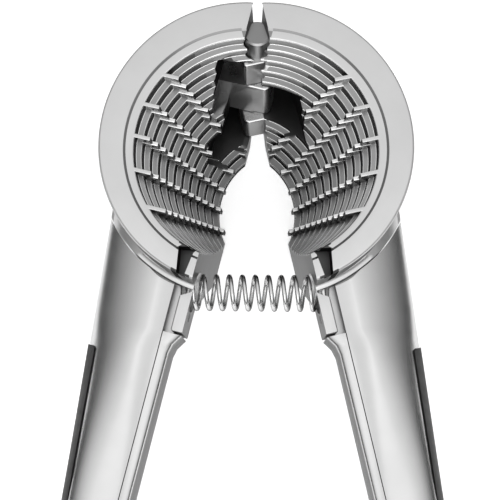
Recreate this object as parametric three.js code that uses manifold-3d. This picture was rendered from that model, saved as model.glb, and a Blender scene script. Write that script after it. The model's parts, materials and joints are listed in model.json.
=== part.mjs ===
// Cone-jaw nutcracker. Two cast jaws, each half of a ring and of a stepped, toothed
// cone, turn on one slanted hinge pin. A coil spring holds them open against their
// stop. A hollow handle shell is pinned over each jaw's tang, with a cap along its
// inner edge and a soft grip insert along its outer edge.
//
// Each arm is drawn once, as the right-hand one, in its closed frame: X across, Y
// towards the hinge, Z out of the mouth. The ring face is at Z = 0, the parting
// plane is X = 0 and the hinge axis runs through the origin. Depths are -Z.

import * as THREE from "three";
import { mergeVertices } from "three/addons/utils/BufferGeometryUtils.js";
import Module from "manifold-3d";

const wasm = await Module();
wasm.setup();

// Driving dimensions, millimetres and degrees.
const OPEN_ANGLE = 14; // each arm's turn from closed to rest
const HINGE_SLOPE = 0.244; // drop of the hinge axis along Y for each mm of depth
const CONE_DEPTH = 38; // ring face to small end
const RUNNING_GAP = 0.3;

const RING = { radius: 29, x: -2.9, y: -23.3, rim: 4.4, edge: 0.6, inlayRadius: 24, inlayDepth: 0.3 };
const CONE_END = { x: -11.1, y: -29.5, radius: 17.2 };
const MOUTH = { x: -4.0, y: -24.4, radius: 22.5 };
const THROAT = { x: -11.1, y: -29.5, radius: 14.2 };
const STEP_COUNT = 11;
const THROAT_LAND = 2; // plain wall below the last step
const COLLAR_RADIUS = 30.3; // seam between casting and handle shell
const COLLAR_DEPTH = 5.7;

const TOOTH = { rows: 5, firstY: -13.9, lastY: -40.6, firstEndY: -19.3, lastEndY: -36.8, thick: 0.8 };
const TOOTH_REACH = { mouth: 2.7, throat: 1.9 };

const BARREL_RADIUS = 2.8;
const PIN = { radius: 1.5, bore: 1.8, from: 3.2, to: 36.2 };
// Hinge knuckles, front to back: their reach along the axis, how far the block hangs
// below the axis and crosses the parting plane, how far it reaches into its own jaw,
// and how wide a notch the other jaw has for it.
const KNUCKLES = [
  { owner: "right", from: 2, to: 9, drop: 0 },
  { owner: "right", from: 8.4, to: 16.8, drop: 3.5, cross: 3.6, own: 0.9, notch: 7.2 },
  { owner: "left", from: 17.2, to: 28.2, drop: 4.4, cross: 3.6, own: 4, notch: 7.2 },
  { owner: "right", from: 28.6, to: 35.6, drop: 6.1, cross: 4.3, own: 0.7, notch: 7.2 },
  { owner: "left", from: 36, to: 38, drop: 0 },
];

const HANDLE = { top: -36, end: -172, front: 5.7, back: 17.5, inner: 1.75, outer: 21.4, taper: 0.094 };
const HANDLE_BEND = -97; // where both handle edges start to curve
const EDGE_CAP = { width: 2, gap: 0.3, top: -63, front: 6.9, back: 16.3 };
const BOSS = { width: 3.4, top: -48, bottom: -62.4, front: 5.9, back: 16.6 };
const TANG = { inner: 4.8, outer: 11.4, bottom: -90, front: 8.7, back: 14.4 };
const TANG_PIN = { radius: 1.5, x: 8.1, y: -78, from: 8.9, to: 17.2 };
const GRIP = { top: -68.5, bottom: -165, halfWidth: 3.6, depth: 1.5, proud: 0.3, middle: 11.6 };

const SPRING = { y: -52, depth: 10.5, radius: 3.28, wire: 0.95, pitch: 2.6, halfLength: 14.2 };
const SEAT = { radius: 4.25, halfSpan: 14.9 };
const TAIL_HOLE = { radius: 1.6, y: -58, length: 3 };

const SATIN = { color: 0xc4c4c4, roughness: 0.35, metalness: 1 };
const STEEL = { color: 0xb4b4b6, roughness: 0.25, metalness: 1 };
const RUBBER = { color: 0x262626, roughness: 0.85, metalness: 0 };

const radians = THREE.MathUtils.degToRad;
const mix = THREE.MathUtils.lerp;
const hingeDirection = new THREE.Vector3(0, HINGE_SLOPE, 1).normalize();
const stepHeight = (CONE_DEPTH - THROAT_LAND - RING.inlayDepth) / STEP_COUNT;

// ---- Solids ----

// Keeps only corners and faces, drops the empty faces at a lathe's poles, and
// turns the faces outwards.
function bareMesh(geometry) {
  const bare = geometry.clone();
  bare.deleteAttribute("normal");
  bare.deleteAttribute("uv");
  const merged = mergeVertices(bare, 1e-4);
  const corners = merged.attributes.position.array;
  const faces = [];
  let volume = 0;
  const [a, b, c] = [new THREE.Vector3(), new THREE.Vector3(), new THREE.Vector3()];
  for (let i = 0; i < merged.index.count; i += 3) {
    const [p, q, r] = merged.index.array.subarray(i, i + 3);
    if (p === q || q === r || p === r) continue;
    faces.push(p, q, r);
    a.fromArray(corners, 3 * p);
    b.fromArray(corners, 3 * q);
    c.fromArray(corners, 3 * r);
    volume += a.dot(b.cross(c));
  }
  if (volume < 0) faces.reverse();
  return { numProp: 3, vertProperties: new Float32Array(corners), triVerts: new Uint32Array(faces) };
}

function solid(geometry) {
  return new wasm.Manifold(new wasm.Mesh(bareMesh(geometry)));
}

function toGeometry(manifold) {
  const mesh = manifold.getMesh();
  const geometry = new THREE.BufferGeometry();
  geometry.setAttribute("position", new THREE.BufferAttribute(mesh.vertProperties, 3));
  geometry.setIndex(new THREE.BufferAttribute(mesh.triVerts, 1));
  return geometry;
}

function unite(solids) {
  return solids.reduce((whole, next) => whole.add(next));
}

function box(x0, x1, y0, y1, z0, z1) {
  const geometry = new THREE.BoxGeometry(x1 - x0, y1 - y0, z1 - z0);
  geometry.translate((x0 + x1) / 2, (y0 + y1) / 2, (z0 + z1) / 2);
  return solid(geometry);
}

// A flat outline in X and Y, drawn down from one depth to another.
function slab(outline, from, to, curveSegments = 6) {
  const geometry = new THREE.ExtrudeGeometry(outline, { depth: to - from, bevelEnabled: false, curveSegments });
  geometry.translate(0, 0, -to);
  return geometry;
}

function polygon(...points) {
  return new THREE.Shape(points.map(([x, y]) => new THREE.Vector2(x, y)));
}

// Slides each layer of a shape sideways in proportion to its depth.
function slide(geometry, x, y, xPerDepth, yPerDepth) {
  return geometry.applyMatrix4(
    new THREE.Matrix4().set(1, 0, -xPerDepth, x, 0, 1, -yPerDepth, y, 0, 0, 1, 0, 0, 0, 0, 1),
  );
}

// Leans a shape drawn around Z over onto the hinge axis.
function onHinge(geometry) {
  return geometry.rotateX(-Math.atan(HINGE_SLOPE));
}

function cylinder(radius, from, to, segments = 24) {
  const geometry = new THREE.CylinderGeometry(radius, radius, to - from, segments);
  geometry.rotateX(Math.PI / 2);
  return geometry.translate(0, 0, -(from + to) / 2);
}

// A turned profile of [radius, depth] points, standing on Z.
function turned(profile, segments = 56) {
  const geometry = new THREE.LatheGeometry(profile.map(([r, depth]) => new THREE.Vector2(r, -depth)), segments);
  return geometry.rotateX(Math.PI / 2);
}

// ---- The jaw's ring, cone and cavity ----

function ringAndCone() {
  const slopeX = (CONE_END.x - RING.x) / CONE_DEPTH;
  const slopeY = (CONE_END.y - RING.y) / CONE_DEPTH;
  const profile = [
    [0, 0],
    [RING.radius - RING.edge, 0],
    [RING.radius, RING.edge],
    [RING.radius, RING.rim],
    [RING.radius - 2.2, RING.rim + 1.8],
    [CONE_END.radius, CONE_DEPTH],
    [0, CONE_DEPTH],
  ];
  return solid(slide(turned(profile), RING.x, RING.y, slopeX, slopeY));
}

// The collar fills the corner between the rim and the handle with a cove.
function collar() {
  const cove = 1.6;
  const profile = [
    [0, RING.rim - 1],
    [RING.radius - 0.1, RING.rim - 1],
    [RING.radius + 0.2, COLLAR_DEPTH - 0.7 * cove],
    [RING.radius + 0.7, COLLAR_DEPTH - 0.25 * cove],
    [COLLAR_RADIUS, COLLAR_DEPTH],
    [COLLAR_RADIUS, HANDLE.back],
    [0, HANDLE.back],
  ];
  const disc = solid(turned(profile).translate(RING.x, RING.y, 0));
  const skirt = handleSweep(fullSection(HANDLE.front, HANDLE.back), () => 0, outerEdge);
  const cap = handleSweep(squareSection(RING.rim - 2, HANDLE.front + 1.5), () => 0, (y) => outerEdge(y) - 1.6);
  return disc.intersect(skirt.add(cap));
}

function cavityCircle(step) {
  const t = Math.min(1, ((step - 1) * stepHeight) / (CONE_DEPTH - THROAT_LAND));
  return {
    x: mix(MOUTH.x, THROAT.x, t),
    y: mix(MOUTH.y, THROAT.y, t),
    radius: mix(MOUTH.radius, THROAT.radius, t),
  };
}

function disc(circle, from, to, segments = 44) {
  return solid(cylinder(circle.radius, from, to, segments).translate(circle.x, circle.y, 0));
}

// Every step is drawn from above the ring face, inside the wider steps above it.
function cavity() {
  const stepDepth = (step) => RING.inlayDepth + step * stepHeight;
  const inlay = { x: RING.x - 0.7, y: RING.y - 0.8, radius: RING.inlayRadius };
  const cuts = [disc(inlay, -1, RING.inlayDepth, 56), disc(THROAT, -1, CONE_DEPTH + 1)];
  for (let step = 1; step <= STEP_COUNT; step += 1) {
    cuts.push(disc(cavityCircle(step), -1, stepDepth(step)));
  }
  return unite(cuts);
}

// One tooth on each step of each row: a thin rib across the step, level with the
// step above and running on down, so that the casting draws out of its mould.
function teeth() {
  const ribs = [];
  for (let row = 0; row < TOOTH.rows; row += 1) {
    const along = row / (TOOTH.rows - 1);
    for (let step = 1; step <= STEP_COUNT; step += 1) {
      const down = (step - 1) / (STEP_COUNT - 1);
      const y = mix(mix(TOOTH.firstY, TOOTH.lastY, along), mix(TOOTH.firstEndY, TOOTH.lastEndY, along), down);
      const circle = cavityCircle(step);
      const wall = circle.x + Math.sqrt(circle.radius ** 2 - (y - circle.y) ** 2);
      const reach = mix(TOOTH_REACH.mouth, TOOTH_REACH.throat, down);
      const top = RING.inlayDepth + (step - 1) * stepHeight;
      const foot = Math.min(top + 2.5 * stepHeight, CONE_DEPTH - 0.4 * THROAT_LAND);
      ribs.push(box(wall - reach, wall + 1.2, y, y + TOOTH.thick, -foot, -top));
    }
  }
  return unite(ribs);
}

// ---- The hinge ----

function barrel(knuckle, grow) {
  const geometry = cylinder(BARREL_RADIUS + grow, knuckle.from - grow, knuckle.to + grow);
  return solid(onHinge(geometry));
}

// The thick back of the casting around the hinge closes the notches in front of it.
function hingeBack() {
  const outline = polygon([0, 4.4], [4.5, 4.4], [9.6, 0.6], [9.6, -9], [8.4, -13.5], [4, -14], [0, -9]);
  return solid(onHinge(slab(outline, 3, CONE_DEPTH)));
}

function knuckleBlock({ from, to, drop, cross, own }) {
  const round = 1.2;
  const outline = new THREE.Shape();
  outline.moveTo(own, 0);
  outline.lineTo(-cross, 0);
  outline.lineTo(-cross, round - drop);
  outline.quadraticCurveTo(-cross, -drop, round - cross, -drop);
  outline.lineTo(own, -drop);
  return solid(onHinge(slab(outline, from, to, 4)));
}

// Room in this jaw for a knuckle of the other one.
function knuckleNotch(knuckle) {
  const { from, to, drop, notch } = knuckle;
  const clear = barrel(knuckle, RUNNING_GAP);
  if (!drop) return clear;
  const outline = polygon([-1, 1.5], [notch - 2, 1.5], [notch, -0.5], [notch, -16], [-1, -16]);
  return clear.add(solid(onHinge(slab(outline, from - RUNNING_GAP, to + RUNNING_GAP))));
}

// The left jaw is also cleared below its own middle knuckle.
function underKnuckle({ from, to, drop, notch }) {
  const outline = polygon([-3, -drop], [notch, -drop], [notch, -16], [-3, -16]);
  return solid(onHinge(slab(outline, from - 2 * RUNNING_GAP, to + 2 * RUNNING_GAP)));
}

// Above the axis the parting faces lean apart, so the ring ends don't meet when
// the jaws open. The ring itself ends short of the parting plane there.
function hingeRelief() {
  const high = 14;
  const lean = Math.tan(radians(24));
  const wedge = polygon([-9, -1], [0, -1], [high * lean, high], [-9, high]);
  return solid(onHinge(slab(wedge, -1, CONE_DEPTH + 1))).add(box(-9, 1.9, -12, 14, -4.2, 1));
}

// ---- The handle ----

const bend = (y) => Math.max(0, HANDLE_BEND - y);

function innerEdge(y) {
  return HANDLE.inner + 0.0003 * bend(y) ** 2;
}

function outerEdge(y) {
  return HANDLE.outer + HANDLE.taper * (y - HANDLE.top) + 0.0005 * bend(y) ** 2;
}

// Sections lie in X and Z, with X from 0 at the inner edge to 1 at the outer one.
function fullSection(front, back) {
  const middle = -(front + back) / 2;
  const section = new THREE.Shape();
  section.moveTo(0, -front - 1);
  section.quadraticCurveTo(0, -front, 0.25, -front);
  section.bezierCurveTo(0.75, -front, 1, -front - 1.6, 1, middle);
  section.bezierCurveTo(1, 1.6 - back, 0.75, -back, 0.25, -back);
  section.quadraticCurveTo(0, -back, 0, 1 - back);
  return section;
}

function squareSection(front, back) {
  return polygon([0, -front], [1, -front], [1, -back], [0, -back]);
}

// Draws a section down the handle between two edge lines, from one Y to another.
function handleSweep(section, inner, outer, top = HANDLE.top, end = HANDLE.end) {
  const options = { depth: top - end, steps: 14, bevelEnabled: false, curveSegments: 5 };
  const geometry = new THREE.ExtrudeGeometry(section, options);
  const corners = geometry.attributes.position;
  for (let i = 0; i < corners.count; i += 1) {
    const y = top - corners.getZ(i);
    corners.setXYZ(i, mix(inner(y), outer(y), corners.getX(i)), y, corners.getY(i));
  }
  return solid(geometry);
}

// The plan outline that rounds off the handle's end.
function roundedEnd(short) {
  const middle = (innerEdge(HANDLE.end) + outerEdge(HANDLE.end)) / 2;
  const half = middle - innerEdge(HANDLE.end) + 0.4 - short;
  const shoulder = HANDLE.end + half;
  const outline = new THREE.Shape();
  outline.moveTo(-3, HANDLE.top + 1);
  outline.lineTo(-3, shoulder + 10);
  outline.lineTo(middle - half, shoulder);
  outline.absarc(middle, shoulder, half, Math.PI, 2 * Math.PI);
  outline.lineTo(middle + half, shoulder + 10);
  outline.lineTo(30, shoulder + 12);
  outline.lineTo(30, HANDLE.top + 1);
  return solid(slab(outline, 0, 30, 14));
}

function gripZone(gap) {
  const stadium = new THREE.Shape();
  const half = GRIP.halfWidth + gap;
  const top = GRIP.top - GRIP.halfWidth;
  const bottom = GRIP.bottom + GRIP.halfWidth;
  stadium.absarc(GRIP.middle, top, half, 0, Math.PI);
  stadium.absarc(GRIP.middle, bottom, half, Math.PI, 2 * Math.PI);
  const prism = solid(slab(stadium, -40, 0, 8).rotateY(Math.PI / 2));
  const skin = (y) => outerEdge(y) - GRIP.depth - gap;
  return prism.intersect(handleSweep(squareSection(2, 22), skin, (y) => outerEdge(y) + 3));
}

function handleShell() {
  const inner = (y) => innerEdge(y) + EDGE_CAP.width + EDGE_CAP.gap;
  const boss = RUNNING_GAP + BOSS.width;
  const body = handleSweep(fullSection(HANDLE.front, HANDLE.back), inner, outerEdge);
  const hollow = handleSweep(
    squareSection(HANDLE.front + 1.6, HANDLE.back - 1.6),
    () => -2,
    (y) => outerEdge(y) - 3.2,
    HANDLE.top,
    HANDLE.end + 7,
  );
  const ring = { x: RING.x, y: RING.y, radius: COLLAR_RADIUS + RUNNING_GAP };
  return body
    .intersect(roundedEnd(0))
    .subtract(hollow)
    .subtract(disc(ring, -1, 40, 56))
    .subtract(box(-3, boss, BOSS.bottom - RUNNING_GAP, -30, -40, 0))
    .subtract(tangPin(RUNNING_GAP))
    .subtract(gripZone(RUNNING_GAP));
}

function edgeCap() {
  const outer = (y) => innerEdge(y) + EDGE_CAP.width;
  const strip = handleSweep(squareSection(EDGE_CAP.front, EDGE_CAP.back), innerEdge, outer, EDGE_CAP.top);
  return strip.intersect(roundedEnd(0.4));
}

function gripInsert() {
  const skin = (y) => outerEdge(y) + GRIP.proud;
  const swelled = handleSweep(fullSection(HANDLE.front - GRIP.proud, HANDLE.back + GRIP.proud), innerEdge, skin);
  return swelled.intersect(gripZone(0));
}

function tangPin(grow) {
  const { radius, x, y, from, to } = TANG_PIN;
  return solid(cylinder(radius + grow, from - grow, to + 4 * grow).translate(x, y, 0));
}

// ---- The jaw casting ----

// The wall behind the parting face carries the cone's lower end down to the boss.
function partingWall() {
  const outline = polygon(
    [-34, CONE_DEPTH],
    [-47.5, CONE_DEPTH],
    [-56, BOSS.back],
    [BOSS.bottom, BOSS.back],
    [BOSS.bottom, BOSS.front],
    [-40, BOSS.front],
  );
  const geometry = new THREE.ExtrudeGeometry(outline, { depth: BOSS.width, bevelEnabled: false });
  // The outline's X is Y here and its Y is depth.
  geometry.applyMatrix4(new THREE.Matrix4().set(0, 0, 1, 0, 1, 0, 0, 0, 0, -1, 0, 0, 0, 0, 0, 1));
  return solid(geometry);
}

// The ring's lower end is cut back on a slope in front of the parting face.
function ringEndRelief() {
  const outline = polygon([-1, 1], [2.6, 1], [2.6, -0.1], [0, -5.4], [-1, -5.4]);
  const geometry = new THREE.ExtrudeGeometry(outline, { depth: 20, bevelEnabled: false });
  // The outline's Y is Z here, drawn from the cavity down past the ring.
  geometry.applyMatrix4(new THREE.Matrix4().set(1, 0, 0, 0, 0, 0, -1, -45, 0, 1, 0, 0, 0, 0, 0, 1));
  return solid(geometry);
}

// The spring's seat and the hole for its end tail, drilled square to the face as
// the jaws lie open.
function springSeat() {
  const seat = new THREE.CylinderGeometry(SEAT.radius, SEAT.radius, SEAT.halfSpan, 24);
  seat.rotateZ(Math.PI / 2).translate(SEAT.halfSpan / 2, SPRING.y, -SPRING.depth);
  seat.applyQuaternion(new THREE.Quaternion().setFromAxisAngle(hingeDirection, -radians(OPEN_ANGLE)));
  const tail = new THREE.CylinderGeometry(TAIL_HOLE.radius, TAIL_HOLE.radius, 2 * TAIL_HOLE.length, 16);
  tail.rotateZ(Math.PI / 2).translate(0, TAIL_HOLE.y, -SPRING.depth);
  return solid(seat).add(solid(tail));
}

// The tang runs down inside the handle shell. Its root backs up the boss.
function tang() {
  const root = box(BOSS.width - 0.5, TANG.outer, BOSS.bottom + 1, BOSS.top, -TANG.back, -TANG.front);
  return root.add(box(TANG.inner, TANG.outer, TANG.bottom, BOSS.top, -TANG.back, -TANG.front));
}

function jaw(name) {
  const own = KNUCKLES.filter(({ owner }) => owner === name);
  const other = KNUCKLES.filter(({ owner }) => owner !== name);
  const body = unite([ringAndCone(), collar(), partingWall(), tang(), hingeBack()]);
  const half = body
    .intersect(box(0, 60, -200, 20, -60, 1))
    .subtract(hingeRelief())
    .subtract(cavity())
    .subtract(ringEndRelief());
  const toothed = half.add(teeth().intersect(box(0, 60, -60, 20, -CONE_DEPTH, 0)));
  const blocks = own.filter(({ drop }) => drop > 0).map(knuckleBlock);
  const bore = solid(onHinge(cylinder(PIN.bore, PIN.from - RUNNING_GAP, CONE_DEPTH + 4)));
  return unite([toothed, ...blocks, ...own.map((knuckle) => barrel(knuckle, 0))])
    .subtract(unite([...other.map(knuckleNotch), ...own.filter(({ own: reach }) => reach > 1).map(underKnuckle)]))
    .subtract(bore)
    .subtract(springSeat())
    .subtract(tangPin(RUNNING_GAP));
}

// ---- Pin and spring, which lie on the middle plane ----

function hingePin() {
  return onHinge(cylinder(PIN.radius, PIN.from, PIN.to));
}

class CoilCurve extends THREE.Curve {
  getPoint(t, target = new THREE.Vector3()) {
    const { halfLength, pitch, radius, y, depth } = SPRING;
    const x = mix(-halfLength, halfLength, t);
    const turn = (2 * Math.PI * x) / pitch;
    return target.set(x, y + radius * Math.cos(turn), radius * Math.sin(turn) - depth);
  }
}

function openingSpring() {
  const section = new THREE.Shape();
  section.absarc(0, 0, SPRING.wire / 2, 0, 2 * Math.PI);
  const steps = Math.round((2 * SPRING.halfLength * 11) / SPRING.pitch);
  const options = { steps, extrudePath: new CoilCurve(), curveSegments: 4, bevelEnabled: false };
  return toGeometry(solid(new THREE.ExtrudeGeometry(section, options)));
}

// ---- Assembly ----

function mesh(name, geometry, look) {
  const part = new THREE.Mesh(geometry, new THREE.MeshStandardMaterial(look));
  part.name = name;
  return part;
}

function mirrored(geometry) {
  geometry.scale(-1, 1, 1);
  geometry.index.array.reverse();
  return geometry;
}

// One arm in the closed frame, turned open about the hinge.
function arm(name) {
  const group = new THREE.Group();
  const place = (part, shape, look) => {
    const geometry = toGeometry(shape);
    group.add(mesh(`${name}_${part}`, name === "left" ? mirrored(geometry) : geometry, look));
  };
  place("jaw", jaw(name), SATIN);
  place("handle_shell", handleShell(), SATIN);
  place("edge_cap", edgeCap(), SATIN);
  place("grip_insert", gripInsert(), RUBBER);
  place("tang_pin", tangPin(0), STEEL);
  const turn = radians(name === "left" ? -OPEN_ANGLE : OPEN_ANGLE);
  group.quaternion.setFromAxisAngle(hingeDirection, turn);
  return group;
}

const nutcracker = new THREE.Group();
const arms = [arm("left"), arm("right")];
nutcracker.add(...arms);
nutcracker.add(mesh("hinge_pin", hingePin(), STEEL));
nutcracker.add(mesh("opening_spring", openingSpring(), STEEL));

// Laid down mouth up, it tips towards the handles until the cones' lower edge and
// both handle ends touch the table.
function lowest(part) {
  return Math.min(...arms.map((group) => {
    const found = group.children.find(({ name }) => name.endsWith(part));
    return new THREE.Box3().setFromObject(found, true).min.z;
  }));
}

function tipToRest() {
  let [low, high] = [0, radians(30)];
  for (let round = 0; round < 24; round += 1) {
    nutcracker.rotation.x = (low + high) / 2;
    nutcracker.updateMatrixWorld(true);
    if (lowest("jaw") < lowest("shell")) low = nutcracker.rotation.x;
    else high = nutcracker.rotation.x;
  }
}

tipToRest();
const bounds = new THREE.Box3().setFromObject(nutcracker, true);
const middle = bounds.getCenter(new THREE.Vector3());
nutcracker.position.set(-middle.x, -middle.y, -bounds.min.z);

const model = new THREE.Group();
model.add(nutcracker);

export default model;
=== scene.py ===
"""Looks of the nutcracker: chrome-plated castings and handles, a coil spring and soft
grips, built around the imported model.

Shapes are drawn in millimetres in the arm's closed frame: X across, Y towards the
hinge, Z out of the mouth, with the ring face at Z = 0 and the parting plane at X = 0.
The right arm is drawn and the left one is its mirror image, apart from the knuckles.
Depths are -Z.
"""

import json
import math

import bmesh
import bpy
from mathutils import Matrix, Vector


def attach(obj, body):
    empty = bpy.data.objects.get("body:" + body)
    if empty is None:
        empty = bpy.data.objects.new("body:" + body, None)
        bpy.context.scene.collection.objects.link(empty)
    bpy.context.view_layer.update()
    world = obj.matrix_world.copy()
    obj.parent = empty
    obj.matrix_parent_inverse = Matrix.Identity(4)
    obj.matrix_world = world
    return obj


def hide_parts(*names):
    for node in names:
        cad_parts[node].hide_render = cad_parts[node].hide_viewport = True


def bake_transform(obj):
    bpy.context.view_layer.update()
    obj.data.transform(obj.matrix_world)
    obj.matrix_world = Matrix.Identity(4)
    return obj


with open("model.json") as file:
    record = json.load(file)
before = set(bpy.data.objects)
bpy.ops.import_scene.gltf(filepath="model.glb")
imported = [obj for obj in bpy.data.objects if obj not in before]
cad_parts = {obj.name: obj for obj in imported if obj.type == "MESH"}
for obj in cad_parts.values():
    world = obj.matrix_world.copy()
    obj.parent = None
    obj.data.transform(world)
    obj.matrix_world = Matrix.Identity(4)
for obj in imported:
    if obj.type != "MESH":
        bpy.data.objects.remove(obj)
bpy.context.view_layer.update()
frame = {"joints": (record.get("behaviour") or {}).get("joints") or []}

# ---- Where the arms lie -------------------------------------------------------

MM = 0.001
OPEN_ANGLE = math.radians(14)  # each arm's turn from closed to rest
HINGE_SLOPE = 0.244  # drop of the hinge axis along Y for each mm of depth
HINGE = frame["joints"][0]
HINGE_AXIS = Vector((0, HINGE_SLOPE, 1)).normalized()
HINGE_LEAN = math.atan(HINGE_SLOPE)
REST_TILT = HINGE_LEAN - math.atan2(HINGE["axis"][1], HINGE["axis"][2])
LAID = Matrix.Translation(HINGE["pos_m"]) @ Matrix.Rotation(REST_TILT, 4, "X") @ Matrix.Scale(MM, 4)
SIDES = {"left": -1, "right": 1}


def arm_matrix(side):
    """From the closed frame of the right arm's drawing to where this arm lies."""
    mirror = Matrix.Diagonal((SIDES[side], 1, 1, 1))
    return LAID @ Matrix.Rotation(SIDES[side] * OPEN_ANGLE, 4, HINGE_AXIS) @ mirror


# ---- Sizes, in millimetres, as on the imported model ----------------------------

RUNNING_GAP = 0.3
CONE_DEPTH = 38
RING = {"x": -2.9, "y": -23.3, "radius": 29, "rim": 4.4, "brow": 0.7, "heel": 0.4}
CONE_END = {"x": -11.1, "y": -29.5, "radius": 17.2, "lip": 0.8}
INLAY = {"x": RING["x"] - 0.7, "y": RING["y"] - 0.8, "radius": 24.25, "depth": 0.35}
MOUTH = {"x": -4.0, "y": -24.4, "radius": 22.5}
THROAT = {"x": -11.1, "y": -29.5, "radius": 14.2}
STEP_COUNT = 11
STEP_BROW = 0.4
STEP_FOOT = 0.12
THROAT_LAND = 2  # plain wall below the last step
STEP_HEIGHT = (CONE_DEPTH - THROAT_LAND - INLAY["depth"]) / STEP_COUNT
COLLAR = {"radius": 30.3, "depth": 5.7, "cove": 1.5, "proud": 0.12}

TEETH = {"rows": 5, "thick": 0.8, "root": 1.2, "reach": (3.1, 2.1), "steps_tall": 2.5, "rounding": 0.13}
# The ribs are added in groups, each of every third step, so that none in a group touch.
TOOTH_GROUPS = 3
# The first and last row's Y, at the mouth and at the small end.
TEETH_FROM = (-13.9, -19.3)
TEETH_TO = (-40.6, -36.8)

BARREL_RADIUS = 2.8
PIN = {"radius": 1.5, "bore": 1.8, "from": 3.2, "to": 37.9}
# Hinge knuckles, front to back: their reach along the axis, how far the block hangs
# below the axis and crosses the parting plane, the radius of its free corner, how far
# it reaches into its own jaw, how wide a notch the other jaw has for it, and how wide
# its own jaw is cleared under it.
KNUCKLES = [
    {"owner": "right", "from": 2, "to": 9, "drop": 0},
    {"owner": "right", "from": 8.4, "to": 16.8, "drop": 3.5, "cross": 3.6,
     "corner": 0.7, "own": 0.9, "notch": 7.2, "under": 0},
    {"owner": "left", "from": 17.2, "to": 28.2, "drop": 4.4, "cross": 3.6,
     "corner": 1.4, "own": 4, "notch": 7.2, "under": 7.2},
    {"owner": "right", "from": 28.6, "to": 35.6, "drop": 6.1, "cross": 4.3,
     "corner": 1.4, "own": 0.7, "notch": 7.2, "under": 0},
    {"owner": "left", "from": 36, "to": 38, "drop": 0},
]
NOTCH_TOP = 1.5
NOTCH_BOTTOM = -16
UNDER_DEEPER = 5  # how wide the jaw is cleared under the knuckle's deeper half
# Seen along the hinge axis, from the axis.
HINGE_BACK = [(0, 4.4), (4.5, 4.4), (9.6, 0.6), (9.6, -9), (8.4, -13.5), (4, -14), (0, -9)]
HINGE_BACK_FROM = 3

HANDLE_TOP = -36
HANDLE_END = -172
HANDLE_FRONT = 5.7
HANDLE_BACK = 17.5
HANDLE_BEND = -97  # where both edges start to curve
INNER_EDGE = {"at_top": 1.75, "curve": 0.0003}
OUTER_EDGE = {"at_top": 21.4, "taper": 0.094, "curve": 0.0005}
# The section's figures at the top of the handle and, from the end of the change, below:
# how far the outer side sinks, where it starts to and where the flat front ends, how
# far the inner side falls and where it meets the front. All but the depths are shares
# of the width.
SECTION = {"sink": (3.4, 1.8), "far": (0.88, 0.99), "flat": (0.5, 0.7), "fall": (0.5, 0), "near": (0.35, 0.2)}
SECTION_CHANGE = {"start": -62, "length": 40}
SECTION_CORNER = 1.2
END_DOME = 6.0
CAP_WIDTH = 2.0
CAP_TOP = -62.9
CAP_GAP = 0.18
CAP_FLARE = {"reach": 1.7, "start": -66, "length": 3.2}  # of the inner edge towards the boss
BOSS = {"bottom": -62.4, "front": 5.9, "back": 16.6, "width": 2.4}
TANG = {"x": (2.0, 11.4), "y": (-90, -48), "z": (-14.4, -8.7)}
TANG_PIN = {"x": 8.1, "y": -78, "radius": 1.5, "from": 9, "to": 17.0}
GRIP = {"z": -11.6, "top": -72.1, "bottom": -161.4, "half": 3.6, "depth": 1.4, "proud": 0.3}

SPRING = {"y": -52, "depth": 10.5, "radius": 3.28, "wire": 0.95, "pitch": 2.6, "half": 14.2}
SPRING_BLEND = 10  # half the length between two points on the spring's axis, between the two seats
SEAT = {"radius": 4.25, "half": 14.9}
TAIL_HOLE = {"y": -58, "radius": 1.6, "half": 3}
POCKET_DEPTH = 5


# ---- Mesh tools ---------------------------------------------------------------


def mix(a, b, t):
    return a + (b - a) * t


def smooth(t):
    t = min(1.0, max(0.0, t))
    return t * t * (3 - 2 * t)


def new_object(name, vertices, faces):
    mesh = bpy.data.meshes.new(name)
    mesh.from_pydata(vertices, [], faces)
    bm = bmesh.new()
    bm.from_mesh(mesh)
    bmesh.ops.recalc_face_normals(bm, faces=bm.faces)
    bm.to_mesh(mesh)
    bm.free()
    made = bpy.data.objects.new(name, mesh)
    bpy.context.scene.collection.objects.link(made)
    return made


def loft(name, loops):
    """A closed solid through loops of equal length, with a flat cap at both ends."""
    count = len(loops[0])
    vertices = [point for loop in loops for point in loop]
    faces = [tuple(reversed(range(count)))]
    for row in range(len(loops) - 1):
        base = row * count
        for i in range(count):
            j = (i + 1) % count
            faces.append((base + i, base + j, base + count + j, base + count + i))
    last = (len(loops) - 1) * count
    faces.append(tuple(range(last, last + count)))
    return new_object(name, vertices, faces)


def stack(name, rings, segments):
    """A solid of stacked circles, each (x, y, radius, depth)."""
    loops = []
    for x, y, radius, depth in rings:
        turns = [2 * math.pi * (i + 0.5) / segments for i in range(segments)]
        loops.append([(x + radius * math.cos(a), y + radius * math.sin(a), -depth) for a in turns])
    return loft(name, loops)


def prism(name, outline, from_depth, to_depth):
    return loft(name, [[(x, y, -depth) for x, y in outline] for depth in (from_depth, to_depth)])


def block(name, x0, x1, y0, y1, z0, z1):
    return prism(name, [(x0, y0), (x1, y0), (x1, y1), (x0, y1)], -z1, -z0)


def round_edges(made, width, segments=2, angle=30):
    """Rounds the edges that turn by more than the angle."""
    bm = bmesh.new()
    bm.from_mesh(made.data)
    limit = math.radians(angle)
    sharp = [e for e in bm.edges if len(e.link_faces) == 2 and e.calc_face_angle() > limit]
    bmesh.ops.bevel(
        bm, geom=sharp, offset=width, offset_type="OFFSET", segments=segments, profile=0.5,
        affect="EDGES", clamp_overlap=True,
    )
    bm.to_mesh(made.data)
    bm.free()
    return made


def moved(made, matrix):
    made.data.transform(matrix)
    if matrix.determinant() < 0:
        made.data.flip_normals()
    return made


def on_hinge(made):
    """Leans a shape drawn around Z over onto the hinge axis."""
    return moved(made, Matrix.Rotation(-HINGE_LEAN, 4, "X"))


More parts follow.
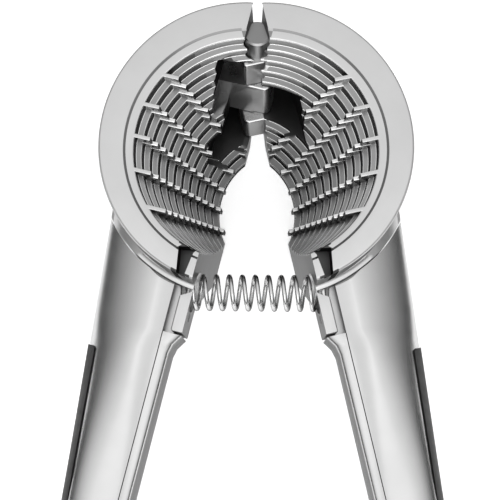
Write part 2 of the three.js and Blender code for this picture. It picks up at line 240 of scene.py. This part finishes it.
def combine(operation, base, *others):
    for other in others:
        modifier = base.modifiers.new(operation, "BOOLEAN")
        modifier.operation = operation
        modifier.solver = "MANIFOLD"
        modifier.object = other
    bpy.context.view_layer.update()
    result = bpy.data.meshes.new_from_object(base.evaluated_get(bpy.context.evaluated_depsgraph_get()))
    base.modifiers.clear()
    base.data = result
    for other in others:
        bpy.data.objects.remove(other)
    return base


def arc(x, y, radius, start, end, count):
    """Points on an arc, with angles in degrees."""
    turns = [math.radians(mix(start, end, i / count)) for i in range(count + 1)]
    return [(x + radius * math.cos(a), y + radius * math.sin(a)) for a in turns]


def bezier(points, count):
    """Points along a quadratic or cubic curve, without its first point."""
    made = []
    for i in range(1, count + 1):
        row = [Vector(p) for p in points]
        t = i / count
        while len(row) > 1:
            row = [a.lerp(b, t) for a, b in zip(row, row[1:])]
        made.append(tuple(row[0]))
    return made


# ---- Materials ----------------------------------------------------------------

NOISE_LOW = 0.3  # most of a noise texture's values lie between these
NOISE_HIGH = 0.7
PAINTED_SHADE_LOW = 0.012  # metres above the table between which the cone's hollow is painted darker as shade, near the small end and near the mouth
PAINTED_SHADE_HIGH = 0.042
TONE_VARIATION = 0.03
ROUGHNESS_VARIATION = 0.07
# Noise features per metre: clouds of tone, patches of polish, and the fine grain.
CLOUDS, PATCHES, GRAIN = 90, 260, 5200
RUBBER_CLOUDS, RUBBER_PATCHES, RUBBER_GRAIN = 300, 700, 4200


class Look:
    """A node material around one Principled shader."""

    def __init__(self, name, **values):
        self.material = bpy.data.materials.new(name)
        self.material.use_nodes = True
        self.nodes = self.material.node_tree.nodes
        self.links = self.material.node_tree.links
        self.shader = self.nodes["Principled BSDF"]
        for socket, value in values.items():
            self.shader.inputs[socket.replace("_", " ")].default_value = value
        self.place = self.nodes.new("ShaderNodeTexCoord").outputs["Object"]

    def noise(self, scale, detail):
        node = self.nodes.new("ShaderNodeTexNoise")
        node.inputs["Scale"].default_value = scale
        node.inputs["Detail"].default_value = detail
        node.inputs["Roughness"].default_value = 0.55
        self.links.new(self.place, node.inputs["Vector"])
        return node.outputs["Fac"]

    def spread(self, fac, low, high):
        node = self.nodes.new("ShaderNodeMapRange")
        node.inputs["From Min"].default_value = NOISE_LOW
        node.inputs["From Max"].default_value = NOISE_HIGH
        node.inputs["To Min"].default_value = low
        node.inputs["To Max"].default_value = high
        self.links.new(fac, node.inputs["Value"])
        return node.outputs["Result"]

    def greys(self, fac, low, high):
        node = self.nodes.new("ShaderNodeValToRGB")
        for element, at, grey in zip(node.color_ramp.elements, (NOISE_LOW, NOISE_HIGH), (low, high)):
            element.position = at
            element.color = (grey, grey, grey, 1)
        self.links.new(fac, node.inputs["Fac"])
        return node.outputs["Color"]

    def painted_depth_shade(self, color, deep):
        """Paints shade: darkens towards the cone's small end, deep in the hollow where less light reaches."""
        apart = self.nodes.new("ShaderNodeSeparateXYZ")
        self.links.new(self.place, apart.inputs[0])
        share = self.nodes.new("ShaderNodeMapRange")
        share.inputs["From Min"].default_value = PAINTED_SHADE_LOW
        share.inputs["From Max"].default_value = PAINTED_SHADE_HIGH
        share.inputs["To Min"].default_value = deep
        self.links.new(apart.outputs["Z"], share.inputs["Value"])
        node = self.nodes.new("ShaderNodeVectorMath")
        node.operation = "SCALE"
        self.links.new(color, node.inputs[0])
        self.links.new(share.outputs["Result"], node.inputs["Scale"])
        return node.outputs["Vector"]

    def drive(self, socket, value):
        self.links.new(value, self.shader.inputs[socket])

    def bump(self, height, distance):
        node = self.nodes.new("ShaderNodeBump")
        node.inputs["Distance"].default_value = distance
        node.inputs["Strength"].default_value = 1.0
        self.links.new(height, node.inputs["Height"])
        self.links.new(node.outputs["Normal"], self.shader.inputs["Normal"])


def satin_metal(name, grey, roughness, grain, deep=1.0):
    """Satin chrome with a grain of that height. Down the cone, its grey falls to the
    deep share of itself, as painted shade."""
    look = Look(name, Metallic=1.0, Specular_Tint=(0.2, 0.2, 0.2, 1))
    vary = TONE_VARIATION
    clouds = look.greys(look.noise(CLOUDS, 3), grey * (1 - vary), grey * (1 + vary))
    # Painted shade: darker down the cone's hollow.
    if deep < 1:
        clouds = look.painted_depth_shade(clouds, deep)
    look.drive("Base Color", clouds)
    vary = ROUGHNESS_VARIATION
    patches = look.noise(PATCHES, 5)
    look.drive("Roughness", look.spread(patches, roughness * (1 - vary), roughness * (1 + vary)))
    look.bump(look.noise(GRAIN, 2), grain)
    return look.material


def rubber():
    look = Look("soft_grip_rubber", Metallic=0.0)
    look.drive("Base Color", look.greys(look.noise(RUBBER_CLOUDS, 4), 0.018, 0.028))
    look.drive("Roughness", look.spread(look.noise(RUBBER_PATCHES, 4), 0.5, 0.62))
    look.bump(look.noise(RUBBER_GRAIN, 3), 0.02 * MM)
    return look.material


SATIN = satin_metal("satin_chrome", 0.6, 0.33, 0.0022 * MM)
HANDLE_SATIN = satin_metal("satin_handle", 0.66, 0.22, 0.0012 * MM)
# The casting's finishes, and copies of them painted darker as shade or lighter as highlight, by the kind of
# surface they are on.
FACE, TREAD, WALL, WALL_TOP, EDGE, PARTING, KNUCKLE_FLAT, KNUCKLE_EDGE, PIT = range(9)
JAW_FINISHES_AND_PAINTED_LIGHT = [
    SATIN,
    # Painted shade on the treads and side walls, painted light on the walls facing the handles.
    satin_metal("tread_painted_shade", 0.36, 0.3, 0.003 * MM, 0.4),
    satin_metal("wall_painted_shade", 0.26, 0.3, 0.003 * MM, 0.5),
    satin_metal("upper_wall_painted_light", 0.5, 0.3, 0.003 * MM, 0.6),
    # Painted highlight on the steps' brows and the rib fronts.
    satin_metal("edge_painted_highlight", 0.85, 0.25, 0.001 * MM, 0.6),
    satin_metal("machined_face", 0.6, 0.3, 0.0015 * MM),
    # Painted shade on the knuckles' flat faces, painted highlight on their edges, and near-black painted
    # shade in the pits.
    satin_metal("knuckle_flat_painted_shade", 0.42, 0.35, 0.002 * MM),
    satin_metal("knuckle_edge_painted_highlight", 0.7, 0.28, 0.001 * MM),
    satin_metal("pit_painted_shade", 0.09, 0.4, 0.003 * MM),
]
WIRE = satin_metal("drawn_wire", 0.66, 0.16, 0.0008 * MM)
STEEL = satin_metal("ground_steel", 0.62, 0.24, 0.001 * MM)
RUBBER = rubber()


# ---- Pieces -------------------------------------------------------------------

SHARP_ANGLE = math.radians(28)  # shading is smooth across edges that turn by less


def finish_piece(made, materials, matrix, body, node, choose=None):
    """Paints a piece, lays it down and hands it to the body that carries it."""
    mesh = made.data
    mesh.materials.clear()
    for material in materials:
        mesh.materials.append(material)
    for polygon in mesh.polygons:
        polygon.material_index = choose(polygon) if choose else 0
        polygon.use_smooth = True
    moved(made, matrix)
    mesh.set_sharp_from_angle(angle=SHARP_ANGLE)
    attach(made, body)
    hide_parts(node)


def depth_of_step(step):
    return INLAY["depth"] + step * STEP_HEIGHT


def cavity_circle(step):
    t = min(1, ((step - 1) * STEP_HEIGHT) / (CONE_DEPTH - THROAT_LAND))
    return {key: mix(MOUTH[key], THROAT[key], t) for key in ("x", "y", "radius")}


def in_cavity(x, y, z, margin):
    """Whether a point lies inside the step circle at its depth, grown by the margin."""
    rounding = 0.15  # the share of a step that still counts as the step above it
    step = min(STEP_COUNT, max(1, math.ceil((-z - INLAY["depth"]) / STEP_HEIGHT - rounding)))
    circle = cavity_circle(step)
    return math.hypot(x - circle["x"], y - circle["y"]) < circle["radius"] + margin


def ring_and_cone():
    """The jaw's outside: ring face, rounded rim, and the cone that leans back."""

    def ring(radius, depth):
        t = depth / CONE_DEPTH
        return (mix(RING["x"], CONE_END["x"], t), mix(RING["y"], CONE_END["y"], t), radius, depth)

    outer, rim, brow, heel = (RING[key] for key in ("radius", "rim", "brow", "heel"))
    rings = [ring(outer - brow + r, brow + d) for r, d in arc(0, 0, brow, -90, 0, 6)]
    rings += [ring(outer - heel + r, rim - heel + d) for r, d in arc(0, 0, heel, 0, 90, 4)]
    # A cove leads from the rim's underside into the cone.
    rings += [ring(outer - 1.4, rim + 0.15), ring(outer - 2.6, rim + 1.6)]
    # The lip stands a little wider than the plain cone would.
    lip = CONE_END["lip"]
    end = CONE_END["radius"] + 0.3
    rings += [ring(end - lip + r, CONE_DEPTH - lip + d) for r, d in arc(0, 0, lip, 0, 90, 5)]
    return stack("casting", rings, 224)


def cavity_cutter():
    """The stepped hollow. Each step has a rounded brow and a small fillet at its foot."""
    brow, foot = STEP_BROW, STEP_FOOT
    sides = [(0.15, -1), (0.15, -0.05), (0, 0.05), (-0.4, INLAY["depth"])]
    rings = [(INLAY["x"], INLAY["y"], INLAY["radius"] + r, depth) for r, depth in sides]
    for step in range(1, STEP_COUNT + 2):
        circle = cavity_circle(step) if step <= STEP_COUNT else THROAT
        x, y, radius = circle["x"], circle["y"], circle["radius"]
        top = depth_of_step(step - 1)
        rings += [(x, y, radius + brow - r, top + brow - d) for r, d in arc(0, 0, brow, 90, 0, 4)]
        if step > STEP_COUNT:
            rings.append((x, y, radius, CONE_DEPTH + 1))
            continue
        low = depth_of_step(step)
        rings += [(x, y, radius - foot + r, low - foot + d) for r, d in arc(0, 0, foot, 0, 90, 2)]
    return stack("cavity", rings, 192)


def teeth(group):
    """The ribs of one group of steps."""
    vertices = []
    faces = []
    for row in range(TEETH["rows"]):
        along = row / (TEETH["rows"] - 1)
        ends = [mix(first, last, along) for first, last in zip(TEETH_FROM, TEETH_TO)]
        for step in range(1 + group, STEP_COUNT + 1, TOOTH_GROUPS):
            down = (step - 1) / (STEP_COUNT - 1)
            y = mix(*ends, down)
            circle = cavity_circle(step)
            wall = circle["x"] + math.sqrt(circle["radius"] ** 2 - (y - circle["y"]) ** 2)
            inner = wall - mix(*TEETH["reach"], down)
            top = depth_of_step(step - 1)
            foot = min(top + TEETH["steps_tall"] * STEP_HEIGHT, CONE_DEPTH - 0.4 * THROAT_LAND)
            rib = block("rib", inner, wall + TEETH["root"], y, y + TEETH["thick"], -foot, -top - 0.02)
            round_edges(rib, TEETH["rounding"])
            start = len(vertices)
            vertices += [tuple(v.co) for v in rib.data.vertices]
            faces += [tuple(start + i for i in p.vertices) for p in rib.data.polygons]
            bpy.data.objects.remove(rib)
    return new_object("teeth", vertices, faces)


def bend(y):
    return max(0.0, HANDLE_BEND - y)


def inner_edge(y):
    return INNER_EDGE["at_top"] + INNER_EDGE["curve"] * bend(y) ** 2


def outer_edge(y):
    straight = OUTER_EDGE["at_top"] + OUTER_EDGE["taper"] * (y - HANDLE_TOP)
    return straight + OUTER_EDGE["curve"] * bend(y) ** 2


def line_at(x):
    """An edge that runs straight down the handle."""
    return lambda y: x


def beside_inner(away):
    return lambda y: inner_edge(y) + away


def beside_outer(away):
    return lambda y: outer_edge(y) + away


def handle_section(front, back, count=8):
    """The handle's closed section at each Y, as (share of the width, Z) points."""
    middle = -(front + back) / 2

    def section(y):
        low = smooth((SECTION_CHANGE["start"] - y) / SECTION_CHANGE["length"])
        sink, far, flat, fall, near = (mix(*pair, low) for pair in SECTION.values())
        corner = SECTION_CORNER + fall
        inner_fall = 0.3 * fall
        points = [(0, -front - corner)]
        points += bezier([(0, -front - corner), (0, -front - inner_fall), (near, -front)], count)
        points += bezier([(near, -front), (flat, -front), (far, -front - sink), (1, middle)], 2 * count)
        points += bezier([(1, middle), (far, sink - back), (flat, -back), (near, -back)], 2 * count)
        points += bezier([(near, -back), (0, inner_fall - back), (0, corner - back)], count)
        return points

    return section


def handle_sweep(name, section, inner, outer, top=HANDLE_TOP, end=HANDLE_END, stations=64, domed=False):
    """Draws a section down the handle between two edge lines, with a rounded end if domed."""
    middle = -(HANDLE_FRONT + HANDLE_BACK) / 2
    loops = []
    for k in range(stations + 1):
        t = k / stations
        y = mix(top, end, t)
        if domed:
            # Stations crowd together towards the rounded end.
            y = mix(top, end, 0.5 * (math.sin(0.5 * math.pi * t) + t))
        low, high = inner(y), outer(y)
        narrow = squeeze = 1.0
        if domed and y < end + END_DOME:
            q = min(0.999, (end + END_DOME - y) / END_DOME)
            narrow = math.sqrt(1 - q * q)
            squeeze = 1 - 0.3 * (1 - math.sqrt(1 - q ** 4))
        centre = (low + high) / 2
        loop = []
        for share, z in section(y):
            x = mix(low, high, share)
            loop.append((centre + (x - centre) * narrow, y, middle + (z - middle) * squeeze))
        loops.append(loop)
    return loft(name, loops)


def square_section(front, back):
    return lambda y: [(0, -front), (1, -front), (1, -back), (0, -back)]


def collar():
    """Fills the corner between the ring's rim and the handle with a cove."""
    low = RING["rim"] - 0.2
    radius, depth, cove, proud = (COLLAR[key] for key in ("radius", "depth", "cove", "proud"))
    rings = [(RING["radius"] - 0.3, low - 1.5), (RING["radius"] - 0.05, low)]
    rings += arc(radius, depth - cove, cove, 185, 90, 7)
    rings += [(radius + proud, depth + 0.25), (radius + proud, HANDLE_BACK)]
    disc = stack("collar", [(RING["x"], RING["y"], r, d) for r, d in rings], 224)
    skirt = handle_sweep("skirt", handle_section(HANDLE_FRONT, HANDLE_BACK), line_at(-2), outer_edge)
    # A narrower, thicker sweep lets the cove rise above the handle's front.
    thicker = handle_section(HANDLE_FRONT - 2, HANDLE_BACK)
    raised = handle_sweep("raised", thicker, line_at(-2), beside_outer(-0.7))
    return combine("INTERSECT", disc, combine("UNION", skirt, raised))


def parting_wall():
    """The wall behind the parting face, from the cone's lower end down to the boss."""
    front, back, bottom = -BOSS["front"], -BOSS["back"], BOSS["bottom"]
    outline = [(-34, -CONE_DEPTH), (-47.5, -CONE_DEPTH), (-56, back)]
    outline += [(bottom, back), (bottom, front), (-40, front)]
    wall = loft("wall", [[(x, y, z) for y, z in outline] for x in (-1, BOSS["width"])])
    return round_edges(wall, 0.35, 3)


def ring_end_relief():
    """The narrow pocket in the ring's lower end."""
    outline = [(0.9, -45.8), (4.2, -46.4), (3.4, -51.6), (1.7, -51.8)]
    return prism("relief", outline, -1, POCKET_DEPTH)


def barrel(knuckle, grow=0.0):
    start, end = knuckle["from"] - grow, knuckle["to"] + grow
    rim = 0.35 if grow == 0 else 0.02
    radius = BARREL_RADIUS + grow
    rings = [(0, 0, radius - rim, start), (0, 0, radius, start + rim)]
    rings += [(0, 0, radius, end - rim), (0, 0, radius - rim, end)]
    return on_hinge(stack("barrel", rings, 64))


def hinge_back():
    """The thick back of the casting around the hinge, which closes the knuckle notches."""
    return on_hinge(round_edges(prism("back", HINGE_BACK, HINGE_BACK_FROM, CONE_DEPTH), 0.5, 3))


def knuckle_block(knuckle):
    own, cross, drop, corner = (knuckle[key] for key in ("own", "cross", "drop", "corner"))
    outline = [(own, 0), (-cross, 0)]
    outline += arc(corner - cross, corner - drop, corner, 180, 270, 8)
    outline.append((own, -drop))
    return on_hinge(round_edges(prism("knuckle", outline, knuckle["from"], knuckle["to"]), 0.45, 4, 50))


def knuckle_notch(knuckle):
    """Room in this jaw for a knuckle of the other one."""
    wide = knuckle["notch"]
    chamfer = 2
    outline = [(-1, NOTCH_TOP), (wide - chamfer, NOTCH_TOP), (wide, NOTCH_TOP - chamfer)]
    outline += [(wide, NOTCH_BOTTOM), (-1, NOTCH_BOTTOM)]
    return on_hinge(prism("notch", outline, knuckle["from"] - RUNNING_GAP, knuckle["to"] + RUNNING_GAP))


def under_knuckle(knuckle):
    """The left jaw is also cleared below its own middle knuckle, in two widths."""
    start, end = knuckle["from"] - 2 * RUNNING_GAP, knuckle["to"] + 2 * RUNNING_GAP
    middle = (knuckle["from"] + knuckle["to"]) / 2
    top = -knuckle["drop"]
    cuts = []
    for wide, low, high in ((knuckle["under"], start, middle), (UNDER_DEEPER, middle - 0.1, end)):
        outline = [(-3, top), (wide, top), (wide, NOTCH_BOTTOM), (-3, NOTCH_BOTTOM)]
        cuts.append(on_hinge(prism("under", outline, low, high)))
    return cuts


def hinge_reliefs():
    """Above the axis the parting faces lean apart, and the ring ends stop short of them."""
    high = 14
    lean = math.tan(math.radians(24))
    wedge = on_hinge(prism("wedge", [(-9, -1), (0, -1), (high * lean, high), (-9, high)], -1, CONE_DEPTH + 1))
    outline = [(-9, 1), (2.35, 1), (2.1, -0.1), (1.3, -4.3), (-9, -4.3)]
    slot = loft("slot", [[(x, y, z) for x, z in outline] for y in (-7, 14)])
    return [wedge, slot]


def spring_seat():
    """The seat, square to the spring as the jaws lie open, and the hole for its tail."""
    seat = stack("seat", [(0, 0, SEAT["radius"], 0), (0, 0, SEAT["radius"], SEAT["half"])], 64)
    along_x = Matrix.Rotation(-math.pi / 2, 4, "Y")
    place = Matrix.Translation((0, SPRING["y"], -SPRING["depth"])) @ along_x
    moved(seat, Matrix.Rotation(-OPEN_ANGLE, 4, HINGE_AXIS) @ place)
    half = TAIL_HOLE["half"]
    tail = stack("tail", [(0, 0, TAIL_HOLE["radius"], -half), (0, 0, TAIL_HOLE["radius"], half)], 40)
    moved(tail, Matrix.Translation((0, TAIL_HOLE["y"], -SPRING["depth"])) @ along_x)
    return [seat, tail]


def jaw_finish_or_painted_light(own, other):
    """Picks a face's finish, or its copy painted darker as shade or lighter as highlight, from where it lies,
    which way it looks and whose knuckles are near.
    """
    to_hinge = Matrix.Rotation(HINGE_LEAN, 3, "X")
    steep = 0.8

    def in_reach(knuckle, depth, past):
        return knuckle["drop"] > 0 and knuckle["from"] - past < depth < knuckle["to"] + past

    def in_notch_height(height):
        return NOTCH_BOTTOM - 0.1 < height < NOTCH_TOP + 0.1

    def choose(polygon):
        x, y, z = polygon.center
        normal = polygon.normal
        on_axis = to_hinge @ polygon.center
        facing = to_hinge @ polygon.normal
        depth, height = -on_axis.z, on_axis.y
        # The hinge: this jaw's knuckles, with painted shade on their flats and painted highlight on their
        # edges, its notches for the other's, painted near black as shade, then its top barrel, painted darker
        # as shade.
        for k in own:
            if in_reach(k, depth, 0.7) and x < max(k["own"], k["under"] + 0.1) and height > -k["drop"] - 0.1:
                return KNUCKLE_FLAT if facing.y < -steep else KNUCKLE_EDGE
        for k in other:
            if in_reach(k, depth, 0.4) and x < k["notch"] + 0.1 and in_notch_height(height):
                if x > k["notch"] - 0.1 or height > -3 or abs(facing.z) > steep:
                    return PIT
        if math.hypot(x, height) < BARREL_RADIUS + 0.1 and depth < 8.3:
            return WALL if facing.z > steep else KNUCKLE_FLAT
        # The pocket in the ring's end, painted near black as shade, the parting face, and the ring's face and
        # inlay, whose rim gets a dark line of painted shade.
        if 0.8 < x < 4.4 and -52 < y < -45.5 and -POCKET_DEPTH - 0.2 < z < -0.02:
            return PIT
        if x < 0.05 and abs(normal.x) > 0.98:
            return PARTING
        if z > -0.45:
            away = math.hypot(x - INLAY["x"], y - INLAY["y"])
            return WALL if -0.34 < z < -0.01 and 23.7 < away < 24.3 else FACE
        if not in_cavity(x, y, z, 0.35):
            return FACE
        # The steps' treads and walls in painted shade, the walls facing the handles in painted light, and the
        # ribs and the steps' rounded brows in painted highlight.
        if normal.z > 0.95:
            return EDGE if in_cavity(x, y, z, -1.6) else TREAD
        if in_cavity(x, y, z, -0.3):
            return EDGE if normal.y < -0.7 or normal.z > 0.3 else WALL
        if normal.z > 0.25:
            return EDGE
        return WALL_TOP if normal.y < -0.75 else WALL

    return choose


def jaw(side):
    own = [k for k in KNUCKLES if k["owner"] == side]
    other = [k for k in KNUCKLES if k["owner"] != side]
    body = ring_and_cone()
    tang = block("tang", *TANG["x"], *TANG["y"], *TANG["z"])
    combine("UNION", body, collar(), parting_wall(), tang, hinge_back())
    combine("INTERSECT", body, block("half", 0, 60, -200, 20, -60, 5))
    combine("DIFFERENCE", body, *hinge_reliefs(), cavity_cutter())
    for group in range(TOOTH_GROUPS):
        ribs = teeth(group)
        combine("INTERSECT", ribs, block("half", 0, 60, -60, 20, -CONE_DEPTH, 0))
        combine("UNION", body, ribs)
    combine("UNION", body, *[knuckle_block(k) for k in own if k["drop"]], *[barrel(k) for k in own])
    notches = [knuckle_notch(k) for k in other if k["drop"]]
    combine("DIFFERENCE", body, *[barrel(k, RUNNING_GAP) for k in other], *notches)
    for knuckle in own:
        if knuckle["drop"] and knuckle["under"]:
            combine("DIFFERENCE", body, *under_knuckle(knuckle))
    ends = (PIN["from"] - RUNNING_GAP, CONE_DEPTH + 4)
    bore = on_hinge(stack("bore", [(0, 0, PIN["bore"], depth) for depth in ends], 48))
    combine("DIFFERENCE", body, bore)
    combine("DIFFERENCE", body, *spring_seat(), ring_end_relief())
    body.name = f"jaw_{side}"
    finish_piece(
        body, JAW_FINISHES_AND_PAINTED_LIGHT, arm_matrix(side), f"{side}_arm",
        f"{side}_jaw", choose=jaw_finish_or_painted_light(own, other),
    )


def grip_zone(name, grow):
    """The grip insert's outline, seen from the side, drawn across the handle."""
    half = GRIP["half"] + grow
    outline = arc(GRIP["z"], GRIP["top"], half, 0, 180, 16)
    outline += arc(GRIP["z"], GRIP["bottom"], half, 180, 360, 16)
    return loft(name, [[(x, y, z) for z, y in outline] for x in (0, 40)])


def rounded_handle(grow=0.0):
    def inner(y):
        flare = CAP_FLARE["reach"] * smooth((y - CAP_FLARE["start"]) / CAP_FLARE["length"])
        return inner_edge(y) - flare - grow

    section = handle_section(HANDLE_FRONT - grow, HANDLE_BACK + grow, 12)
    return handle_sweep("handle", section, inner, beside_outer(grow), stations=90, domed=True)


def seam_cutter(width, top=HANDLE_TOP + 2):
    """Everything on the inner side of the seam, down the handle's whole length."""
    deep = square_section(0, 30)
    return handle_sweep("seam", deep, line_at(-6), beside_inner(width), top, HANDLE_END - 3)


def collar_cutter():
    """Clears the shell from the collar, with a fine chamfer where they meet."""
    radius = COLLAR["radius"] + COLLAR["proud"] + 0.14
    sides = [(radius + 0.6, 3), (radius + 0.5, 5.6), (radius, 6.15), (radius, 40)]
    return stack("collar_cut", [(RING["x"], RING["y"], r, depth) for r, depth in sides], 224)


def handle_shell(side):
    shell = rounded_handle()
    skin = 2.2
    hollow = handle_sweep(
        "hollow", square_section(HANDLE_FRONT + skin, HANDLE_BACK - skin), line_at(-2), beside_outer(-7),
        HANDLE_TOP + 1, HANDLE_END + 9,
    )
    combine("DIFFERENCE", shell, seam_cutter(CAP_WIDTH + CAP_GAP), hollow, collar_cutter())
    past_boss = BOSS["width"] + RUNNING_GAP
    boss_room = block("boss_room", -3, past_boss, BOSS["bottom"] - RUNNING_GAP, -30, -40, 0)
    combine("DIFFERENCE", shell, boss_room)
    band = handle_sweep("skin", square_section(2, 22), beside_outer(-GRIP["depth"] - 0.2), beside_outer(3))
    combine("DIFFERENCE", shell, combine("INTERSECT", grip_zone("recess", 0.08), band))
    shell.name = f"handle_shell_{side}"
    finish_piece(
        shell, [HANDLE_SATIN], arm_matrix(side), f"{side}_arm", f"{side}_handle_shell"
    )


def edge_cap(side):
    cap = rounded_handle()
    combine("INTERSECT", cap, seam_cutter(CAP_WIDTH, CAP_TOP))
    cap.name = f"edge_cap_{side}"
    finish_piece(
        cap, [HANDLE_SATIN], arm_matrix(side), f"{side}_arm", f"{side}_edge_cap"
    )


def grip_insert(side):
    grip = rounded_handle(GRIP["proud"])
    combine("INTERSECT", grip, grip_zone("zone", -0.05))
    core = handle_sweep("core", square_section(2, 22), line_at(-6), beside_outer(-GRIP["depth"]))
    combine("DIFFERENCE", grip, core)
    round_edges(grip, 0.2, 2, 50)
    grip.name = f"grip_{side}"
    finish_piece(grip, [RUBBER], arm_matrix(side), f"{side}_arm", f"{side}_grip_insert")


def tang_pin(side):
    x, y, radius, start, end = TANG_PIN.values()
    rings = [(x, y, radius, start), (x, y, radius, end), (x, y, radius - 0.25, end + 0.3)]
    pin = stack(f"tang_pin_{side}", rings, 48)
    finish_piece(pin, [STEEL], arm_matrix(side), f"{side}_arm", f"{side}_tang_pin")


def hinge_pin():
    radius, start, end = PIN["radius"], PIN["from"], PIN["to"]
    rings = [(0, 0, radius - 0.3, start), (0, 0, radius, start + 0.3)]
    rings += [(0, 0, radius, end - 0.4), (0, 0, radius - 0.3, end)]
    pin = on_hinge(stack("pivot_pin", rings, 48))
    finish_piece(pin, [STEEL], LAID, "left_arm", "hinge_pin")


def opening_spring():
    """A right-handed coil of round wire, on the middle plane between the two seats."""
    half, radius, pitch, depth = (SPRING[key] for key in ("half", "radius", "pitch", "depth"))
    wire = 0.5 * SPRING["wire"]
    turns = 2 * half / pitch
    around = 14
    steps = int(turns * 30)
    loops = []
    for k in range(steps + 1):
        t = k / steps
        angle = 2 * math.pi * turns * (t - 0.5)
        out = Vector((0, math.cos(angle), math.sin(angle)))
        along = Vector((pitch / (2 * math.pi), -radius * out.z, radius * out.y))
        side = along.normalized().cross(out)
        centre = Vector((mix(-half, half, t), SPRING["y"] + radius * out.y, radius * out.z - depth))
        spokes = [2 * math.pi * i / around for i in range(around)]
        loops.append([tuple(centre + wire * (math.cos(a) * out + math.sin(a) * side)) for a in spokes])
    coil = loft("spring_coil", loops)
    coil.data.materials.append(WIRE)
    for polygon in coil.data.polygons:
        polygon.use_smooth = True
    moved(coil, LAID)
    start, end = (LAID @ Vector((x, SPRING["y"], -depth)) for x in (-SPRING_BLEND, SPRING_BLEND))
    tuple(start)
    tuple(end)
    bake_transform(coil)
    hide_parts("opening_spring")


for arm_side in SIDES:
    jaw(arm_side)
    handle_shell(arm_side)
    edge_cap(arm_side)
    grip_insert(arm_side)
    tang_pin(arm_side)
hinge_pin()
opening_spring()


# ---- Floor, lights and camera -------------------------------------------------

FLOOR_HALF = 3.0  # metres
FLOOR_GREY = 0.9
FLOOR_GLOW = 0.55  # keeps the floor pale under the low light

VIEW_TILT = math.radians(9)  # the camera leans from the ring's normal to the handles
VIEW_SIDE = math.radians(0.7)
VIEW_ROLL = math.radians(0.66)
VIEW_DISTANCE = 350
VIEW_AIM = Vector((-0.95, -44.9, 0))
FOCAL_PIXELS = 1787
PICTURE_PIXELS = 500
SENSOR = 36

# Patches of the studio's sky: which way each one lies, the cosines from that way at
# which it starts and is whole, and its strength before the start and when whole.
SKY = ((0, 0, 1), 0.1, 0.95, 0.04, 1.05)
LOW_BOX = ((0, -0.77, 0.64), 0.82, 0.94, 0.0, 1.3)
CAMERA_PATCH = ((0, -0.132, 0.991), 0.985, 0.999, 0.0, -0.18)
# One softbox stands at each side, with its long edge along the handles.
SOFTBOX = {"way": (0.55, -0.1, 0.83), "distance": 0.8, "width": 0.25, "length": 0.8, "power": 0.15}
SOFTBOX_TARGET = Vector((0, -35, 0))


def floor():
    look = Look("pale_floor", Roughness=0.6, Emission_Color=(1, 1, 1, 1), Emission_Strength=FLOOR_GLOW)
    look.shader.inputs["Base Color"].default_value = (FLOOR_GREY, FLOOR_GREY, FLOOR_GREY, 1)
    corners = [(FLOOR_HALF * x, FLOOR_HALF * y, 0) for x, y in ((-1, -1), (1, -1), (1, 1), (-1, 1))]
    sheet = new_object("floor", corners, [(0, 1, 2, 3)])
    sheet.data.materials.append(look.material)


def camera():
    data = bpy.data.cameras.new("camera")
    data.sensor_width = SENSOR
    data.lens = SENSOR * FOCAL_PIXELS / PICTURE_PIXELS
    data.clip_start = 0.01
    made = bpy.data.objects.new("camera", data)
    bpy.context.scene.collection.objects.link(made)
    way = Vector((math.sin(VIEW_SIDE), -math.sin(VIEW_TILT), math.cos(VIEW_TILT))).normalized()
    made.location = LAID @ (VIEW_AIM + VIEW_DISTANCE * way)
    away = (LAID.to_3x3() @ way).normalized()
    upright = LAID.to_3x3() @ Vector((0, 1, 0))
    up = (upright - away * away.dot(upright)).normalized()
    up.rotate(Matrix.Rotation(VIEW_ROLL, 3, away))
    made.rotation_mode = "QUATERNION"
    made.rotation_quaternion = Matrix((up.cross(away), up, away)).transposed().to_quaternion()
    bpy.context.scene.camera = made


def softbox(side):
    """A soft area light that faces the jaws from one side, in the arms' middle frame."""
    data = bpy.data.lights.new(f"softbox_{side}", "AREA")
    data.shape = "RECTANGLE"
    data.size = SOFTBOX["width"]
    data.size_y = SOFTBOX["length"]
    data.energy = SOFTBOX["power"]
    made = bpy.data.objects.new(data.name, data)
    bpy.context.scene.collection.objects.link(made)
    across, along, up = SOFTBOX["way"]
    way = (LAID.to_3x3() @ Vector((across * SIDES[side], along, up))).normalized()
    made.location = LAID @ SOFTBOX_TARGET + SOFTBOX["distance"] * way
    made.rotation_mode = "QUATERNION"
    made.rotation_quaternion = (-way).to_track_quat("-Z", "Y")


def studio():
    """A soft white sky that is bright overhead and falls away to a dark rim, with a bright
    box towards the handles and the dimmer patch of the camera and its stand."""
    world = bpy.data.worlds.new("studio")
    world.use_nodes = True
    nodes, links = world.node_tree.nodes, world.node_tree.links
    bpy.context.scene.world = world
    place = nodes.new("ShaderNodeTexCoord").outputs["Generated"]

    def patch(way, start, whole, before, strength):
        cosine = nodes.new("ShaderNodeVectorMath")
        cosine.operation = "DOT_PRODUCT"
        cosine.inputs[1].default_value = way
        links.new(place, cosine.inputs[0])
        fade = nodes.new("ShaderNodeMapRange")
        fade.interpolation_type = "SMOOTHSTEP"
        fade.inputs["From Min"].default_value = start
        fade.inputs["From Max"].default_value = whole
        fade.inputs["To Min"].default_value = before
        fade.inputs["To Max"].default_value = strength
        links.new(cosine.outputs["Value"], fade.inputs["Value"])
        return fade.outputs["Result"]

    total = patch(*SKY)
    for part in (LOW_BOX, CAMERA_PATCH):
        plus = nodes.new("ShaderNodeMath")
        links.new(total, plus.inputs[0])
        links.new(patch(*part), plus.inputs[1])
        total = plus.outputs["Value"]
    links.new(total, nodes["Background"].inputs["Strength"])
    nodes["Background"].inputs["Color"].default_value = (1, 1, 1, 1)


floor()
camera()
studio()
for arm_side in SIDES:
    softbox(arm_side)
bpy.context.scene.view_settings.view_transform = "Standard"
